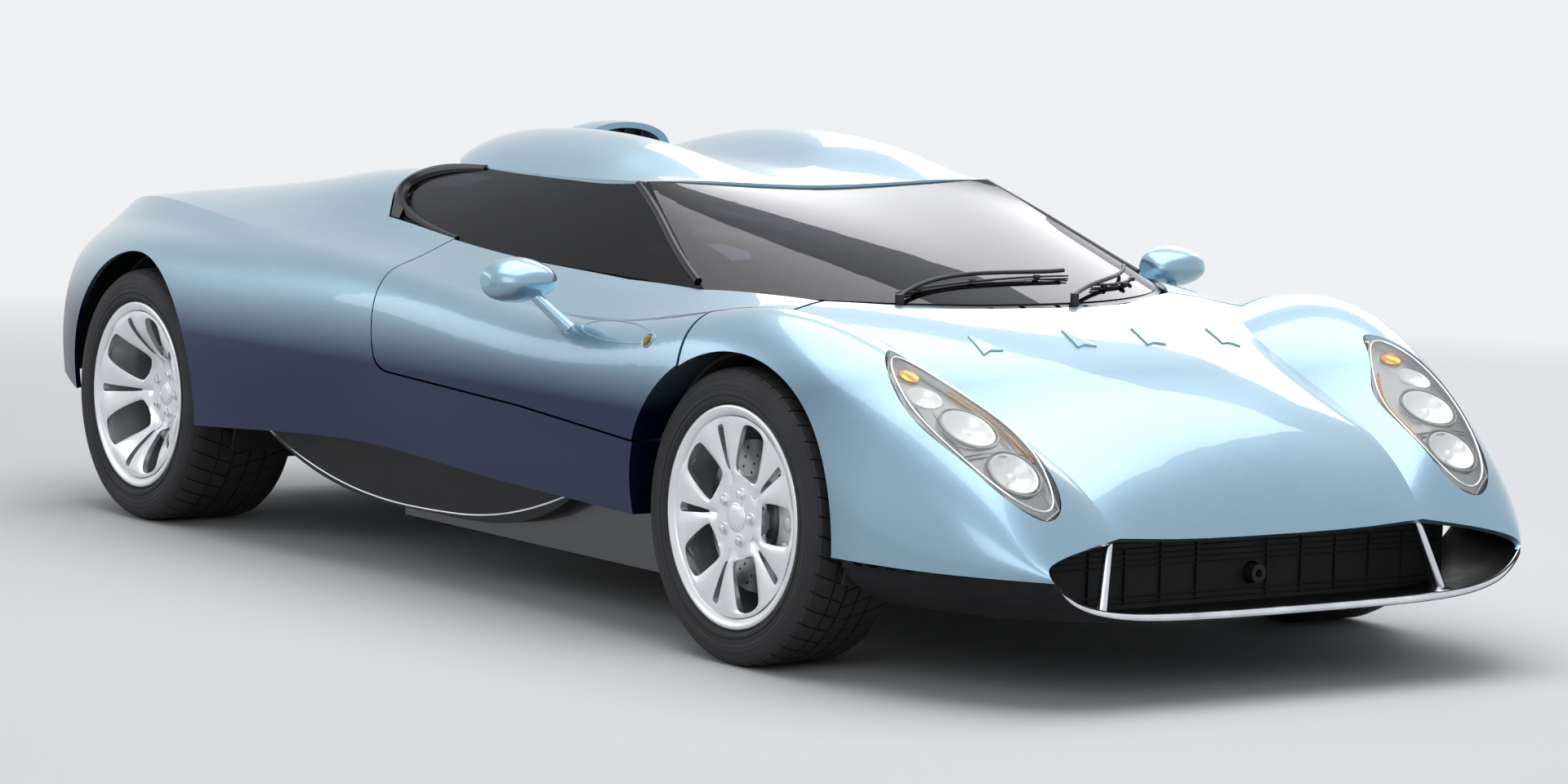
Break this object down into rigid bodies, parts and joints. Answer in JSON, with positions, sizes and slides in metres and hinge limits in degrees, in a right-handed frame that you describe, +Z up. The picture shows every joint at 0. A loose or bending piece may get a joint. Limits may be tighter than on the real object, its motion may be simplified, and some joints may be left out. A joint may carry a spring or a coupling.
{
  "type": "supercar",
  "caption": "low mid-engined two-seat supercar with twin-crown roof, one-piece lifting canopy with doors, hinged engine lid, steered front wheels and open cabin",
  "frame": {"origin": "on the ground, under the middle of the body length, on the centre plane", "axes": "X to the nose, Y to the left of the car, Z up"},
  "size_m": [4.0194, 2.1104, 1.0875],
  "materials": {
    "body_paint": "metallic gloss",
    "tinted_glass": "tinted",
    "gloss_black": "gloss",
    "satin_black": "satin",
    "carbon_black": "satin",
    "frame_black": "satin",
    "engine_alloy": "cast",
    "dark_steel": "machined",
    "cast_alloy": "cast",
    "liner_black": "matte",
    "lip_black": "satin",
    "core_black": "matte",
    "lamp_red": "gloss",
    "pipe_steel": "polished",
    "seat_leather": "soft",
    "dash_leather": "soft",
    "grip_leather": "soft",
    "lamp_silver": "polished",
    "lamp_glass": "clear",
    "tyre_rubber": "matte",
    "wheel_silver": "painted silver",
    "disc_steel": "ground"
  },
  "bodies": {
    "chassis": {"front_clamshell": "body_paint", "rear_clamshell": "body_paint", "side_sills": "body_paint", "floor_tub": "carbon_black", "frame_rails": "frame_black", "engine_block": "engine_alloy", "rear_uprights": "cast_alloy", "wishbones": "frame_black", "drive_shafts": "dark_steel", "wheel_liners": "liner_black", "front_lip": "lip_black", "radiator": "core_black", "tail_panel": "satin_black", "tail_lamps": "lamp_red", "exhaust_pipes": "pipe_steel", "diffuser": "carbon_black", "seats": "seat_leather", "dashboard": "dash_leather", "headlamp_bowls": "lamp_silver", "headlamp_covers": "lamp_glass", "skirt_blades": "lip_black"},
    "canopy": {"windscreen": "tinted_glass", "side_glass": "tinted_glass", "roof_panel": "body_paint", "canopy_frame": "gloss_black", "doors": "body_paint", "roof_scoop": "body_paint", "mirrors": "body_paint", "wipers": "satin_black"},
    "lid": {"engine_lid": "body_paint"},
    "hub_carrier_left": {"knuckle_left": "cast_alloy"},
    "hub_carrier_right": {"knuckle_right": "cast_alloy"},
    "steering": {"steering_wheel": "grip_leather"},
    "wheel_front_left": {"tyre_front_left": "tyre_rubber", "rim_front_left": "wheel_silver", "brake_disc_front_left": "disc_steel"},
    "wheel_front_right": {"tyre_front_right": "tyre_rubber", "rim_front_right": "wheel_silver", "brake_disc_front_right": "disc_steel"},
    "wheel_rear_left": {"tyre_rear_left": "tyre_rubber", "rim_rear_left": "wheel_silver", "brake_disc_rear_left": "disc_steel"},
    "wheel_rear_right": {"tyre_rear_right": "tyre_rubber", "rim_rear_right": "wheel_silver", "brake_disc_rear_right": "disc_steel"}
  },
  "joints": [
    {"name": "canopy_hinge", "type": "hinge", "parent": "chassis", "child": "canopy", "pos_m": [1.079, 0, 0.735], "axis": [0, 1, 0], "range_deg": [0, 38]},
    {"name": "lid_hinge", "type": "hinge", "parent": "chassis", "child": "lid", "pos_m": [-0.843, 0, 0.905], "axis": [0, 1, 0], "range_deg": [0, 45]},
    {"name": "steer_right", "type": "hinge", "parent": "chassis", "child": "hub_carrier_right", "pos_m": [1.157, -0.756, 0.322], "axis": [0, 0, 1], "range_deg": [-28, 28]},
    {"name": "steer_left", "type": "hinge", "parent": "chassis", "child": "hub_carrier_left", "pos_m": [1.157, 0.756, 0.322], "axis": [0, 0, 1], "range_deg": [-28, 28]},
    {"name": "steering_wheel_turn", "type": "hinge", "parent": "chassis", "child": "steering", "pos_m": [0.397, -0.385, 0.64], "axis": [-0.9272, 0, 0.3746], "range_deg": [-420, 420]},
    {"name": "spin_front_left", "type": "hinge", "parent": "hub_carrier_left", "child": "wheel_front_left", "pos_m": [1.157, 0.781, 0.322], "axis": [0, 1, 0], "continuous": true},
    {"name": "spin_front_right", "type": "hinge", "parent": "hub_carrier_right", "child": "wheel_front_right", "pos_m": [1.157, -0.781, 0.322], "axis": [0, 1, 0], "continuous": true},
    {"name": "spin_rear_left", "type": "hinge", "parent": "chassis", "child": "wheel_rear_left", "pos_m": [-1.493, 0.785, 0.329], "axis": [0, 1, 0], "continuous": true},
    {"name": "spin_rear_right", "type": "hinge", "parent": "chassis", "child": "wheel_rear_right", "pos_m": [-1.493, -0.785, 0.329], "axis": [0, 1, 0], "continuous": true}
  ],
  "couplings": [
    {"joint": "steer_left", "follows": "steer_right", "ratio": 1},
    {"joint": "steering_wheel_turn", "follows": "steer_right", "ratio": 15}
  ]
}
